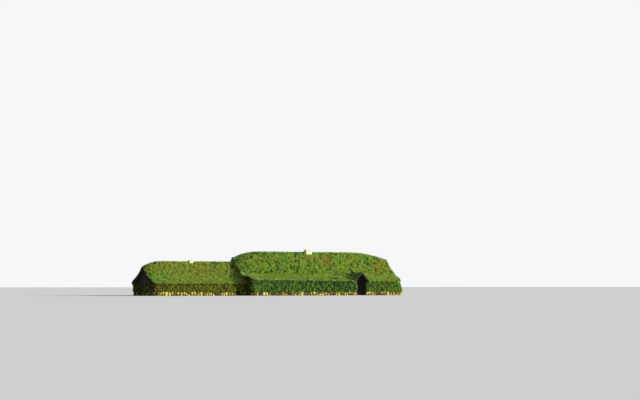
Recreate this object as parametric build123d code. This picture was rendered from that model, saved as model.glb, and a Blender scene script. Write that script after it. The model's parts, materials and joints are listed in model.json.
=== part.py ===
"""A turf longhouse: a hall and a lower living room in line, with a boarded porch.

Thick turf walls stand on a stone footing. A timber frame inside carries boarded
slopes, and a bell-curved turf roof lies on the boards and on the tops of the walls.
Millimetres. X runs along the ridge, the front faces -Y, +Z is up, and the origin is
under the middle of the whole house, on the ground.
"""

import os
from itertools import pairwise
from math import atan, cos, pi, radians, sin, tan
from types import SimpleNamespace

from build123d import *

# Plan of the two blocks, measured over the turf at the foot of the walls
hall_length = 21100
hall_depth = 9200
room_length = 12100
room_depth = 7000
hall_wall_thickness = 1700
hall_end_thickness = 1800
cross_wall_thickness = 1700
room_wall_thickness = 1300
room_end_thickness = 1200
corner_radius = 400
right_corner_top_radius = 1250
corner_facets = 6
roof_overhang = 150
verge_board_inset = 50

# Walls: a stone footing, then turf that leans in a little towards its top
footing_height = 500
footing_setback = 50
hall_batter = 100
room_batter = 80

# Hall roof: the line on which the turf lies, and the turf's height above that line
hall_board_ridge = 4380
hall_board_foot = 2000
hall_wall_top_outer = 1640
hall_crown_cover = 970
hall_shoulder_cover = 930
hall_slope_cover = 530
hall_valley_cover = 390
hall_knee_cover = 550
hall_wall_cover = 540
hall_eave_cover = 520

# The hall's eave sinks towards the right, and its ridge towards both ends
hall_eave_fall = 400
hall_left_drop = 700
hall_left_round = 3000
hall_right_drop = 880
hall_right_round = 5500

# Living room roof, the same way
room_board_ridge = 3250
room_board_foot = 1620
room_wall_top_outer = 1340
room_crown_cover = 850
room_shoulder_cover = 800
room_slope_cover = 520
room_valley_cover = 430
room_knee_cover = 500
room_wall_cover = 370
room_eave_cover = 280
room_eave_fall = 0
room_left_drop = 690
room_left_round = 2300

# Shares of a sunken ridge or eave that the turf's curve takes on its way between them
shoulder_drop_share = 0.8
slope_drop_share = 0.45
valley_drop_share = 0.15
knee_fall_share = 0.5
wall_fall_share = 0.75
turf_facets = 18
round_shares = [0.0, 0.05, 0.12, 0.22, 0.36, 0.54, 0.76, 1.0]

# Timber
board_thickness = 30
rafter_width = 90
rafter_depth = 120
rafter_end_gap = 60
hall_rafter_bays = 16
room_rafter_bays = 9
first_hall_frame = 3
hall_frame_step = 2
hall_post_size = 160
wall_post_size = 140
hall_aisle_width = 1450
purlin_width = 200
purlin_height = 160
tie_height = 180
tie_width = 160
tie_overhang = 250
plate_width = 160
hall_plate_bottom = 1690
room_plate_bottom = 1300
room_post_step = 2
collar_height = 150
collar_width = 60
collar_underside = 1950
collar_lap_share = 0.5

# Boarded gables
gable_recess = 100
gable_board_thickness = 40

# Passage between the hall and the living room
inner_passage_width = 900
inner_passage_height = 1550
inner_lintel_bearing = 200

# Smoke vents on the ridges, each over the bay nearest to its distance from the block's
# left face, and standing a little forward of the ridge
hall_vent_place = 9900
hall_vent_length = 800
hall_vent_depth = 600
hall_vent_forward = 200
hall_vent_top = 5620
room_vent_place = 6120
room_vent_length = 480
room_vent_depth = 400
room_vent_forward = 150
room_vent_top = 4250
vent_board = 35
vent_lid_overhang = 40
vent_lid_thickness = 40

# Porch and doorway: a boarded front set back under a small turf roof of its own, in the
# bay nearest to its distance from the hall's left face
door_place = 15080
post_recess = 420
post_width = 220
post_depth = 180
doorway_width = 960
doorway_height = 1790
lintel_height = 170
sill_height = 120
passage_width = 1080
passage_height = 1850
lining_thickness = 40
ceiling_thickness = 40
porch_pitch = 45.0
porch_board_apex = 2720
porch_half_width = 950
porch_turf_cover = 160
porch_front_inset = 50
porch_turf_lap = 600
porch_gable_board = 35
porch_gable_lap = 60
barge_width = 170
barge_thickness = 35
barge_joint = 2

# Door leaf, hung behind the posts and opening inwards
leaf_edge_gap = 10
leaf_front_gap = 8
leaf_thickness = 45
leaf_bottom = 40
leaf_top_lap = 40
leaf_boards = 5
leaf_board_joint = 2
ledge_thickness = 25
ledge_height = 150
ledge_low = 330
ledge_high = 1380
ledge_edge_inset = 60
pin_radius = 8
pin_clearance = 0.05
pin_wall_gap = 5
knuckle_wall = 7
knuckle_height = 60
knuckle_seat_gap = 0.3
strap_thickness = 6
strap_width = 50
strap_length = 760
pintle_shelf = 14
pintle_pin_proud = 12
pull_height = 220
pull_width = 35
pull_foot = 40
pull_standoff = 30
pull_bar = 25
pull_middle = 1050
pull_edge_inset = 110

# Cutting blocks reach this far past the house, and stand this far off its faces
reach = 30000
plan_margin = 10


def box(x0, x1, y0, y1, z0, z1):
    """A block between two corners."""
    middle = Pos((x0 + x1) / 2, (y0 + y1) / 2, (z0 + z1) / 2)
    return middle * Box(x1 - x0, y1 - y0, z1 - z0)


def polygon(points):
    """A flat face from its corners."""
    return Face(Wire.make_polygon(points))


def skin(sections):
    """A solid through outlines of as many points each, its sides in flat triangles."""
    faces = [polygon(sections[0]), polygon(sections[-1])]
    for near, far in pairwise(sections):
        for i in range(len(near)):
            faces.append(polygon([near[i - 1], near[i], far[i]]))
            faces.append(polygon([near[i - 1], far[i], far[i - 1]]))
    return Solid(Shell(faces)).clean()


def prism_along_x(outline, x0, x1):
    """Extrudes an outline of (y, z) points from x0 to x1."""
    face = polygon([(x0, y, z) for y, z in outline])
    return extrude(face, amount=x1 - x0, dir=(1, 0, 0))


def prism_along_y(outline, y0, y1):
    """Extrudes an outline of (x, z) points from y0 to y1."""
    face = polygon([(x, y0, z) for x, z in outline])
    return extrude(face, amount=y1 - y0, dir=(0, 1, 0))


def solids(pieces):
    """Several separate solids as one shape."""
    return Compound(children=[one for piece in pieces for one in piece.solids()])


def mirrored_pair(piece):
    """A piece and its twin across the ridge line."""
    return solids([piece, mirror(piece, about=Plane.XZ)])


# Where each block begins and ends along the ridge
right_end = (hall_length + room_length + roof_overhang) / 2
cross_face = right_end - hall_length
left_end = cross_face - room_length


def lay_out_block(**sizes):
    """Adds to a block's own sizes the ones that follow from them."""
    block = SimpleNamespace(**sizes)
    block.inner = block.depth / 2 - block.wall
    block.wall_top = block.depth / 2 - block.batter
    block.eave = block.depth / 2 + roof_overhang
    block.pitch = (block.board_ridge - block.board_foot) / block.inner
    lean = cos(atan(block.pitch))
    block.board_drop = board_thickness / lean
    block.rafter_drop = (board_thickness + rafter_depth) / lean
    first = block.start + gable_recess + gable_board_thickness + rafter_end_gap
    last = block.end - block.end_recess - rafter_end_gap
    block.bay = (last - first) / block.rafter_bays
    block.rafters = [first + i * block.bay for i in range(block.rafter_bays + 1)]
    return block


hall = lay_out_block(
    start=cross_face,
    end=right_end,
    end_recess=gable_recess + gable_board_thickness,
    depth=hall_depth,
    wall=hall_wall_thickness,
    batter=hall_batter,
    board_ridge=hall_board_ridge,
    board_foot=hall_board_foot,
    wall_top_outer=hall_wall_top_outer,
    crown_cover=hall_crown_cover,
    shoulder_cover=hall_shoulder_cover,
    slope_cover=hall_slope_cover,
    valley_cover=hall_valley_cover,
    knee_cover=hall_knee_cover,
    wall_cover=hall_wall_cover,
    eave_cover=hall_eave_cover,
    eave_fall=hall_eave_fall,
    left_drop=hall_left_drop,
    left_round=hall_left_round,
    right_drop=hall_right_drop,
    right_round=hall_right_round,
    rafter_bays=hall_rafter_bays,
    plate_bottom=hall_plate_bottom,
    verge_start=cross_face - roof_overhang,
    verge_end=right_end,
    right_corner=corner_radius,
    right_corner_top=right_corner_top_radius,
)
room = lay_out_block(
    start=left_end,
    end=cross_face,
    end_recess=0,
    depth=room_depth,
    wall=room_wall_thickness,
    batter=room_batter,
    board_ridge=room_board_ridge,
    board_foot=room_board_foot,
    wall_top_outer=room_wall_top_outer,
    crown_cover=room_crown_cover,
    shoulder_cover=room_shoulder_cover,
    slope_cover=room_slope_cover,
    valley_cover=room_valley_cover,
    knee_cover=room_knee_cover,
    wall_cover=room_wall_cover,
    eave_cover=room_eave_cover,
    eave_fall=room_eave_fall,
    left_drop=room_left_drop,
    left_round=room_left_round,
    right_drop=0,
    right_round=0,
    rafter_bays=room_rafter_bays,
    plate_bottom=room_plate_bottom,
    verge_start=left_end - roof_overhang,
    verge_end=cross_face,
    right_corner=0,
    right_corner_top=0,
)


def bay_middle(block, bay):
    """The middle of one bay between rafters."""
    return (block.rafters[bay] + block.rafters[bay + 1]) / 2


def nearest_bay(block, place):
    """The bay between two rafters whose middle is nearest to a distance along the block."""
    return min(
        range(block.rafter_bays),
        key=lambda bay: abs(bay_middle(block, bay) - block.start - place),
    )


def board_line(block, y, drop=0.0):
    """Height of the boarded slope's top face at a distance y from the ridge."""
    return block.board_ridge - block.pitch * y - drop


def under_roof(block):
    """Everything below the line on which the block's turf lies."""
    fall = (block.board_foot - block.wall_top_outer) / (block.wall_top - block.inner)
    far = block.eave + block.wall
    half = [
        (block.inner, block.board_foot),
        (far, block.board_foot - fall * (far - block.inner)),
        (far, -reach),
    ]
    ridge = [(0, block.board_ridge)]
    other = [(-y, z) for y, z in reversed(half)]
    return prism_along_x(ridge + half + other, block.start - reach, block.end + reach)


def corner_points(x, y, r, turn, z):
    """Points round a quarter of a corner, about a centre, from the angle turn."""
    step = pi / 2 / corner_facets
    angles = [turn - i * step for i in range(corner_facets + 1)]
    return [(x + r * cos(angle), y + r * sin(angle), z) for angle in angles]


def wall_footprint(x0, x1, y_out, y_in, z, r_start, r_end):
    """A wall's outline at one height, with a radius at each outer corner, or square at 0."""
    start, end = [(x0, y_out, z)], [(x1, y_out, z)]
    if r_start:
        start = corner_points(x0 + r_start, y_out - r_start, r_start, pi, z)
    if r_end:
        end = corner_points(x1 - r_end, y_out - r_end, r_end, pi / 2, z)
    return [(x0, y_in, z), *start, *end, (x1, y_in, z)]


def long_wall(block, x0, x1, r_start=0, r_end=0):
    """Turf of a rear long wall from x0 to x1, up to the roof."""
    y_out = block.depth / 2
    top = block.board_foot
    growth = (top - footing_height) / (block.wall_top_outer - footing_height)
    lean = block.batter * growth
    r_top = r_end
    if r_end:
        r_top += (block.right_corner_top - block.right_corner) * growth
    low = wall_footprint(x0, x1, y_out, block.inner, footing_height, r_start, r_end)
    high = wall_footprint(x0, x1, y_out - lean, block.inner, top, r_start, r_top)
    return skin([low, high]) & under_roof(block)


def long_footing(block, x0, x1, r_start=0, r_end=0):
    """Stone footing under a rear long wall, set back a little under the turf."""
    y_out = block.depth / 2 - footing_setback
    a = x0 + (footing_setback if r_start else 0)
    b = x1 - (footing_setback if r_end else 0)
    foot = wall_footprint(a, b, y_out, block.inner, 0, r_start, r_end)
    return extrude(polygon(foot), amount=footing_height, dir=(0, 0, 1))


def to_front(piece):
    """Turns a rear piece into the matching front piece."""
    return mirror(piece, about=Plane.XZ)


def end_drop(block, x):
    """How far the turf's ridge has sunk at x, near a free end."""
    drop = 0.0
    if x < block.verge_start + block.left_round:
        share = 1 - (x - block.verge_start) / block.left_round
        drop = block.left_drop * share**2
    if x > block.verge_end - block.right_round:
        share = 1 - (block.verge_end - x) / block.right_round
        drop = block.right_drop * share**2
    return drop


def turf_section(block, x):
    """Half of the turf's cross section at x: a bell curve over the boards and the wall."""
    drop = end_drop(block, x)
    along = (x - block.verge_start) / (block.verge_end - block.verge_start)
    fall = block.eave_fall * along
    inner, top = block.inner, block.wall_top
    wall_line = (block.board_foot + block.wall_top_outer) / 2
    shoulder, slope, valley = inner / 4, inner / 2, inner * 3 / 4
    eave = block.wall_top_outer + block.eave_cover - fall
    nose = (eave + block.wall_top_outer) / 2

    def rise(y, cover, share):
        return (x, y, board_line(block, y) + cover - share * drop)

    curve = Spline(
        [
            rise(0, block.crown_cover, 1),
            rise(shoulder, block.shoulder_cover, shoulder_drop_share),
            rise(slope, block.slope_cover, slope_drop_share),
            rise(valley, block.valley_cover, valley_drop_share),
            (x, inner, block.board_foot + block.knee_cover - knee_fall_share * fall),
            (x, (inner + top) / 2, wall_line + block.wall_cover - wall_fall_share * fall),
            (x, top, eave),
            (x, block.eave, nose),
        ],
        tangents=[(0, 1, 0), (0, 0, -1)],
    )
    outside = [curve @ (i / turf_facets) for i in range(turf_facets + 1)]
    inside = [(x, top, block.wall_top_outer), (x, top, 0), (x, 0, 0)]
    return [*outside, *inside]


def turf_slope(block):
    """The turf on a block's rear slope, resting on the boards and the wall top."""
    stations = [block.verge_start + block.left_round * t for t in round_shares]
    if block.right_round:
        stations += [block.verge_end - block.right_round * t for t in reversed(round_shares)]
    else:
        stations.append(block.verge_end)
    turf = skin([turf_section(block, x) for x in stations])
    plan = wall_footprint(
        block.verge_start - plan_margin,
        block.verge_end + plan_margin,
        block.eave + plan_margin,
        -plan_margin,
        0,
        corner_radius + roof_overhang + plan_margin,
        block.right_corner_top,
    )
    turf = turf & extrude(polygon(plan), amount=reach, dir=(0, 0, 1))
    return turf - under_roof(block)


def vent_block(vent, margin, z0, z1):
    """A block over a smoke vent's plan, wider by a margin all round."""
    a, b = vent.length / 2 + margin, vent.depth / 2 + margin
    return box(vent.x - a, vent.x + a, vent.y - b, vent.y + b, z0, z1)


def vent_curb(block, vent):
    """Four boards round the smoke hole, standing on the roof boards."""
    outside = vent_block(vent, 0, 0, vent.top)
    return outside - vent_block(vent, -vent_board, 0, reach) - under_roof(block)


def vent_lid(vent):
    """A flat lid that laps over the curb."""
    return vent_block(vent, vent_lid_overhang, vent.top, vent.top + vent_lid_thickness)


def roof_boards(block, x0, x1, vent):
    """The boarded slopes, with a hole under the smoke vent."""
    slopes = []
    for side in (1, -1):
        outline = [
            (0, board_line(block, 0)),
            (side * block.inner, board_line(block, block.inner)),
            (side * block.inner, board_line(block, block.inner, block.board_drop)),
            (0, board_line(block, 0, block.board_drop)),
        ]
        slopes.append(prism_along_x(outline, x0, x1))
    hole = vent_block(vent, -vent_board, 0, reach)
    return [slope - hole for slope in slopes]


def rafter(block, x):
    """One rear rafter from the ridge to the outer face of the wall plate."""
    outline = [
        (0, board_line(block, 0, block.board_drop)),
        (block.inner, board_line(block, block.inner, block.board_drop)),
        (block.inner, board_line(block, block.inner, block.rafter_drop)),
        (0, board_line(block, 0, block.rafter_drop)),
    ]
    return prism_along_x(outline, x - rafter_width / 2, x + rafter_width / 2)


def backed_beam(block, y0, y1, z0, x0, x1):
    """A long beam whose top is cut to the slope, so that the rafters lie flat on it."""
    outline = [
        (y0, board_line(block, y0, block.rafter_drop)),
        (y1, board_line(block, y1, block.rafter_drop)),
        (y1, z0),
        (y0, z0),
    ]
    return prism_along_x(outline, x0, x1)


def post(x, y, size, top):
    """A square post from the ground up."""
    return box(x - size / 2, x + size / 2, y - size / 2, y + size / 2, 0, top)


def gable_boards(block, x0, bottom):
    """A boarded gable from the end wall's top to the roof boards."""
    outline = [
        (0, board_line(block, 0, block.board_drop)),
        (block.inner, board_line(block, block.inner, block.board_drop)),
        (block.inner, bottom),
        (-block.inner, bottom),
        (-block.inner, board_line(block, block.inner, block.board_drop)),
    ]
    return prism_along_x(outline, x0, x0 + gable_board_thickness)


# The smoke vents, each over the middle of its bay
hall_vent = SimpleNamespace(
    x=bay_middle(hall, nearest_bay(hall, hall_vent_place)),
    y=-hall_vent_forward,
    length=hall_vent_length,
    depth=hall_vent_depth,
    top=hall_vent_top,
)
room_vent = SimpleNamespace(
    x=bay_middle(room, nearest_bay(room, room_vent_place)),
    y=-room_vent_forward,
    length=room_vent_length,
    depth=room_vent_depth,
    top=room_vent_top,
)

# Doorway and porch places that several pieces share, each worked out from the values
door_bay = nearest_bay(hall, door_place)
door_x = bay_middle(hall, door_bay)
post_front = -hall.depth / 2 + post_recess
post_back = post_front + post_depth
post_inner = doorway_width / 2
post_outer = post_inner + post_width
lintel_top = doorway_height + lintel_height
passage_inner = passage_width / 2
passage_cut = passage_inner + lining_thickness
passage_top = passage_height + ceiling_thickness
porch_slope = tan(radians(porch_pitch))
porch_front = -hall.eave + porch_front_inset
porch_board_drop = board_thickness / cos(radians(porch_pitch))
porch_board_foot = porch_board_apex - porch_slope * porch_half_width
porch_roof_back = -(hall.board_ridge - porch_board_apex) / hall.pitch
porch_turf_back = porch_roof_back + porch_turf_lap


def porch_line(x, apex):
    """Height at x of a porch slope that peaks at apex over the doorway."""
    return apex - porch_slope * abs(x - door_x)


def porch_prism(apex, half_width, floor, y0, y1):
    """A gabled block over the doorway, from a level floor up to the porch slopes."""
    left, right = door_x - half_width, door_x + half_width
    outline = [
        (left, floor),
        (left, porch_line(left, apex)),
        (door_x, apex),
        (right, porch_line(right, apex)),
        (right, floor),
    ]
    return prism_along_y(outline, y0, y1)


# The doorway and passage, taken out of the stone, the turf and the front wall plate
passage_gap = box(door_x - passage_cut, door_x + passage_cut, -reach, 0, -reach, reach)
passage_space = box(
    door_x - passage_cut, door_x + passage_cut, -reach, -hall.inner, -reach, passage_top
)
recess_space = box(
    door_x - post_outer, door_x + post_outer, -reach, post_back, -reach, reach
)
barge_end = porch_half_width + porch_turf_cover / 2
barge_space = box(
    door_x - barge_end, door_x + barge_end, -reach, porch_front, -reach, reach
)
porch_space = porch_prism(
    porch_board_apex,
    porch_half_width,
    porch_board_foot - porch_board_drop,
    -reach,
    porch_roof_back,
)


# Everything under the boards of the hall's front slope
hall_slope_space = prism_along_x(
    [
        (0, hall.board_ridge),
        (-hall.inner, hall.board_foot),
        (-hall.inner, -reach),
        (0, -reach),
    ],
    hall.start,
    hall.end,
)


def build_footings():
    """Stone footings, split at the doorway and at the inner passage."""
    gap0, gap1 = door_x - passage_cut, door_x + passage_cut
    left_r, right_r = corner_radius, hall.right_corner
    rear = long_footing(hall, hall.start, hall.end, left_r, right_r)
    front_left = to_front(long_footing(hall, hall.start, gap0, r_start=left_r)) - recess_space
    front_right = to_front(long_footing(hall, gap1, hall.end, r_end=right_r)) - recess_space
    end = box(
        hall.end - hall_end_thickness,
        hall.end - footing_setback,
        -hall.inner,
        hall.inner,
        0,
        footing_height,
    )
    side = box(
        hall.start + footing_setback,
        hall.start + cross_wall_thickness,
        inner_passage_width / 2,
        hall.inner,
        0,
        footing_height,
    )
    room_long = long_footing(room, room.start, room.end + footing_setback, r_start=left_r)
    room_long -= solids([rear, side])
    room_end = box(
        room.start + footing_setback,
        room.start + room_end_thickness,
        -room.inner,
        room.inner,
        0,
        footing_height,
    )
    return {
        "hall_side_footings": solids([rear, front_left, front_right]),
        "room_side_footings": mirrored_pair(room_long),
        "end_footings": solids([end, room_end, mirrored_pair(side)]),
    }


def build_walls():
    """Turf walls: thick, leaning in, with round outer corners."""
    gap0, gap1 = door_x - passage_cut, door_x + passage_cut
    left_r, right_r = corner_radius, hall.right_corner
    rear = long_wall(hall, hall.start, hall.end, left_r, right_r)
    left = to_front(long_wall(hall, hall.start, gap0, r_start=left_r))
    right = to_front(long_wall(hall, gap1, hall.end, r_end=right_r))
    front = [wall - recess_space - porch_space for wall in (left, right)]
    end = box(
        hall.end - hall_end_thickness,
        hall.end,
        -hall.inner,
        hall.inner,
        footing_height,
        hall_plate_bottom,
    )
    lintel = box(
        hall.start,
        hall.start + cross_wall_thickness,
        -inner_passage_width / 2 - inner_lintel_bearing,
        inner_passage_width / 2 + inner_lintel_bearing,
        inner_passage_height,
        hall_plate_bottom,
    )
    side = box(
        hall.start,
        hall.start + cross_wall_thickness,
        inner_passage_width / 2,
        hall.inner,
        footing_height,
        hall_plate_bottom,
    )
    room_long = long_wall(room, room.start, room.end, r_start=left_r)
    room_end = box(
        room.start,
        room.start + room_end_thickness,
        -room.inner,
        room.inner,
        footing_height,
        room_plate_bottom,
    )
    return {
        "hall_rear_wall": rear,
        "hall_front_wall": solids(front),
        "hall_end_wall": end,
        "cross_wall": mirrored_pair(side - lintel),
        "cross_wall_lintel": lintel,
        "room_front_wall": to_front(room_long),
        "room_rear_wall": room_long,
        "room_end_wall": room_end,
    }


def build_gables():
    """Boarded gables at both ends of the hall and at the room's free end."""
    left = gable_boards(hall, hall.start + gable_recess, hall_plate_bottom)
    right_x = hall.end - gable_recess - gable_board_thickness
    right = gable_boards(hall, right_x, hall_plate_bottom)
    end = gable_boards(room, room.start + gable_recess, room_plate_bottom)
    return {"hall_gable_boards": solids([left, right]), "room_gable_boards": end}


def build_hall_frame():
    """Two rows of posts with tie beams and purlins, wall plates and rafters."""
    x0 = hall.start + gable_recess + gable_board_thickness
    x1 = hall.end - gable_recess - gable_board_thickness
    purlin_out = hall_aisle_width + purlin_width / 2
    purlin_bottom = board_line(hall, purlin_out, hall.rafter_drop) - purlin_height
    tie_bottom = purlin_bottom - tie_height
    frames = [
        x
        for x in hall.rafters[first_hall_frame::hall_frame_step]
        if x < hall.end - hall_end_thickness
    ]
    plate_middle = hall.inner - plate_width / 2
    posts, ties = [], []
    for x in hall.rafters[door_bay : door_bay + 2]:
        if x not in frames:
            posts.append(post(x, -plate_middle, wall_post_size, hall_plate_bottom))
    for x in frames:
        half = tie_width / 2
        out = hall_aisle_width + tie_overhang
        ties.append(box(x - half, x + half, -out, out, tie_bottom, purlin_bottom))
        for side in (1, -1):
            posts.append(post(x, side * hall_aisle_width, hall_post_size, tie_bottom))
            posts.append(post(x, side * plate_middle, wall_post_size, hall_plate_bottom))
    purlin = backed_beam(
        hall, purlin_out - purlin_width, purlin_out, purlin_bottom, x0, x1
    )
    plate = backed_beam(
        hall, hall.inner - plate_width, hall.inner, hall_plate_bottom, x0, x1
    )
    rear = solids([rafter(hall, x) for x in hall.rafters])
    return {
        "hall_posts": solids(posts),
        "hall_tie_beams": solids(ties),
        "hall_purlins": mirrored_pair(purlin),
        "hall_wall_plates": solids([plate, to_front(plate) - passage_gap]),
        "hall_rafters_rear": rear,
        "hall_rafters_front": mirror(rear, about=Plane.XZ),
    }


def build_room_frame():
    """Wall posts and plates, rafters, and a collar beam beside every other pair."""
    x0 = room.start + gable_recess + gable_board_thickness
    x1 = room.end
    posts, collars = [], []
    inside = room.start + room_end_thickness
    plate_middle = room.inner - plate_width / 2
    for x in room.rafters[1:-1:room_post_step]:
        if x < inside:
            continue
        for side in (1, -1):
            posts.append(post(x, side * plate_middle, wall_post_size, room_plate_bottom))
        top = collar_underside + collar_height
        low = board_line(room, 0, room.rafter_drop)
        reach_low = (low - collar_underside) / room.pitch
        reach_high = (low - top) / room.pitch
        tip = (room.rafter_drop - room.board_drop) / room.pitch * collar_lap_share
        outline = [
            (-reach_low - tip, collar_underside),
            (reach_low + tip, collar_underside),
            (reach_high + tip, top),
            (-reach_high - tip, top),
        ]
        face = x + rafter_width / 2
        collars.append(prism_along_x(outline, face, face + collar_width))
    plate = backed_beam(
        room, room.inner - plate_width, room.inner, room_plate_bottom, x0, x1
    )
    rear = solids([rafter(room, x) for x in room.rafters])
    return {
        "room_posts": solids(posts),
        "room_collar_beams": solids(collars),
        "room_wall_plates": mirrored_pair(plate),
        "room_rafters_rear": rear,
        "room_rafters_front": mirror(rear, about=Plane.XZ),
    }


def build_roofs():
    """Roof boards, turf slopes and smoke vents."""
    hall_shaft = vent_block(hall_vent, 0, 0, reach)
    room_shaft = vent_block(room_vent, 0, 0, reach)
    hall_rear, room_rear = turf_slope(hall), turf_slope(room)
    hall_front = to_front(hall_rear) - passage_space - recess_space - porch_space
    hall_front -= barge_space
    hall_boards = roof_boards(
        hall,
        hall.verge_start + verge_board_inset,
        hall.verge_end - verge_board_inset,
        hall_vent,
    )
    room_boards = roof_boards(
        room, room.verge_start + verge_board_inset, room.verge_end, room_vent
    )
    return {
        "hall_roof_boards_rear": hall_boards[0],
        "hall_roof_boards_front": hall_boards[1],
        "hall_roof_turf_rear": hall_rear - hall_shaft,
        "hall_roof_turf_front": hall_front - hall_shaft,
        "hall_vent_curb": vent_curb(hall, hall_vent),
        "hall_vent_lid": vent_lid(hall_vent),
        "room_roof_boards_rear": room_boards[0],
        "room_roof_boards_front": room_boards[1],
        "room_roof_turf_rear": room_rear - room_shaft,
        "room_roof_turf_front": to_front(room_rear) - room_shaft,
        "room_vent_curb": vent_curb(room, room_vent),
        "room_vent_lid": vent_lid(room_vent),
    }


def build_porch(hall_turf):
    """Posts, lintel, sill, lined passage, boarded gable and the small turf roof."""
    posts, linings, slopes, barges = [], [], [], []
    barge_drop = barge_width / cos(radians(porch_pitch))
    barge_top = porch_board_apex + porch_turf_cover
    for side in (-1, 1):
        inner, outer = door_x + side * post_inner, door_x + side * post_outer
        x0, x1 = min(inner, outer), max(inner, outer)
        posts.append(box(x0, x1, post_front, post_back, 0, doorway_height))
        inner, outer = door_x + side * passage_inner, door_x + side * passage_cut
        x0, x1 = min(inner, outer), max(inner, outer)
        linings.append(box(x0, x1, post_back, -hall.inner, 0, passage_height))
        ridge = door_x + side * barge_joint / 2
        foot = door_x + side * porch_half_width
        slopes.append(
            prism_along_y(
                [
                    (ridge, porch_line(ridge, porch_board_apex)),
                    (foot, porch_board_foot),
                    (foot, porch_board_foot - porch_board_drop),
                    (ridge, porch_line(ridge, porch_board_apex) - porch_board_drop),
                ],
                porch_front,
                porch_roof_back,
            )
            - hall_slope_space
        )
        foot = door_x + side * barge_end
        barges.append(
            prism_along_y(
                [
                    (ridge, porch_line(ridge, barge_top)),
                    (foot, porch_line(foot, barge_top)),
                    (foot, porch_line(foot, barge_top) - barge_drop),
                    (ridge, porch_line(ridge, barge_top) - barge_drop),
                ],
                porch_front - barge_thickness,
                porch_front,
            )
        )
    lintel = box(
        door_x - post_outer,
        door_x + post_outer,
        post_front,
        post_back,
        doorway_height,
        lintel_top,
    )
    sill = box(door_x - post_inner, door_x + post_inner, post_front, post_back, 0, sill_height)
    ceiling = box(
        door_x - passage_cut,
        door_x + passage_cut,
        post_back,
        -hall.inner,
        passage_height,
        passage_top,
    )
    gable_top = porch_board_apex - porch_board_drop
    gable_bottom = doorway_height + porch_gable_lap
    gable = porch_prism(
        gable_top, post_outer, gable_bottom, post_front - porch_gable_board, post_front
    )
    turf = porch_prism(
        porch_board_apex + porch_turf_cover,
        barge_end,
        porch_board_foot,
        porch_front,
        porch_turf_back,
    )
    turf -= hall_turf
    turf -= porch_prism(
        porch_board_apex, porch_half_width, -reach, -reach, porch_roof_back
    )
    turf -= under_roof(hall)
    return {
        "porch_posts": solids(posts),
        "porch_lintel": lintel,
        "porch_sill": sill,
        "porch_linings": solids(linings),
        "porch_ceiling": ceiling,
        "porch_gable_boards": gable,
        "porch_roof_boards": solids(slopes),
        "porch_barge_boards": solids(barges),
        "porch_roof_turf": turf,
    }


def build_door():
    """A boarded leaf on ledges, with strap hinges on pintles, opening inwards."""
    left = door_x - passage_inner + leaf_edge_gap
    right = door_x + passage_inner - leaf_edge_gap
    top = doorway_height + leaf_top_lap
    front = post_back + leaf_front_gap
    back = front + leaf_thickness
    ledge_back = back + ledge_thickness
    board = (right - left + leaf_board_joint) / leaf_boards
    boards = [
        box(
            left + i * board,
            left + (i + 1) * board - leaf_board_joint,
            front,
            back,
            leaf_bottom,
            top,
        )
        for i in range(leaf_boards)
    ]
    knuckle_radius = pin_radius + pin_clearance + knuckle_wall
    pin_x = door_x - passage_inner + pin_wall_gap + knuckle_radius
    pin_y = ledge_back + strap_thickness / 2
    ledges, straps, pintles = [], [], []
    for z in (ledge_low, ledge_high):
        ledges.append(
            box(
                left + ledge_edge_inset,
                right - ledge_edge_inset,
                back,
                ledge_back,
                z,
                z + ledge_height,
            )
        )
        middle = z + ledge_height / 2
        low, high = middle - knuckle_height / 2, middle + knuckle_height / 2
        strap = box(
            pin_x,
            pin_x + strap_length,
            ledge_back,
            ledge_back + strap_thickness,
            middle - strap_width / 2,
            middle + strap_width / 2,
        )
        knuckle = Pos(pin_x, pin_y, middle) * Cylinder(knuckle_radius, knuckle_height)
        eye = Pos(pin_x, pin_y, middle) * Cylinder(pin_radius + pin_clearance, reach)
        straps.append(strap + knuckle - eye)
        shelf_top = low - knuckle_seat_gap
        shelf = box(
            door_x - passage_inner,
            pin_x + pin_radius,
            pin_y - knuckle_radius,
            pin_y + knuckle_radius,
            shelf_top - pintle_shelf,
            shelf_top,
        )
        pin_height = high + pintle_pin_proud - shelf_top
        pin = Pos(pin_x, pin_y, shelf_top + pin_height / 2) * Cylinder(pin_radius, pin_height)
        pintles.append(shelf + pin)
    pull_x = right - pull_edge_inset
    low, high = pull_middle - pull_height / 2, pull_middle + pull_height / 2
    bar_back = front - pull_standoff
    pull = box(
        pull_x - pull_width / 2, pull_x + pull_width / 2, bar_back - pull_bar, bar_back, low, high
    )
    for z in (low, high - pull_foot):
        pull += box(
            pull_x - pull_width / 2, pull_x + pull_width / 2, bar_back, front, z, z + pull_foot
        )
    return {
        "door_boards": solids(boards),
        "door_ledges": solids(ledges),
        "door_straps": solids(straps),
        "door_pull": pull,
        "door_pintles": solids(pintles),
    }


def build_all():
    """Every node of the house by name."""
    nodes = {}
    nodes.update(build_footings())
    nodes.update(build_walls())
    nodes.update(build_gables())
    nodes.update(build_hall_frame())
    nodes.update(build_room_frame())
    nodes.update(build_roofs())
    nodes.update(build_porch(nodes["hall_roof_turf_front"]))
    nodes.update(build_door())
    return nodes


os.makedirs("parts", exist_ok=True)
for name, shape in build_all().items():
    export_step(shape, f"parts/{name}.step")
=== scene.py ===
"""Looks of the turf longhouse: field stones, grown turf, tarred and bleached boards.

Metres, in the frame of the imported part: X along the ridge, the front faces -Y, +Z is up.
"""

import json
import math
import random

import bmesh
import bpy
from mathutils import Matrix, Vector, noise

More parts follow.
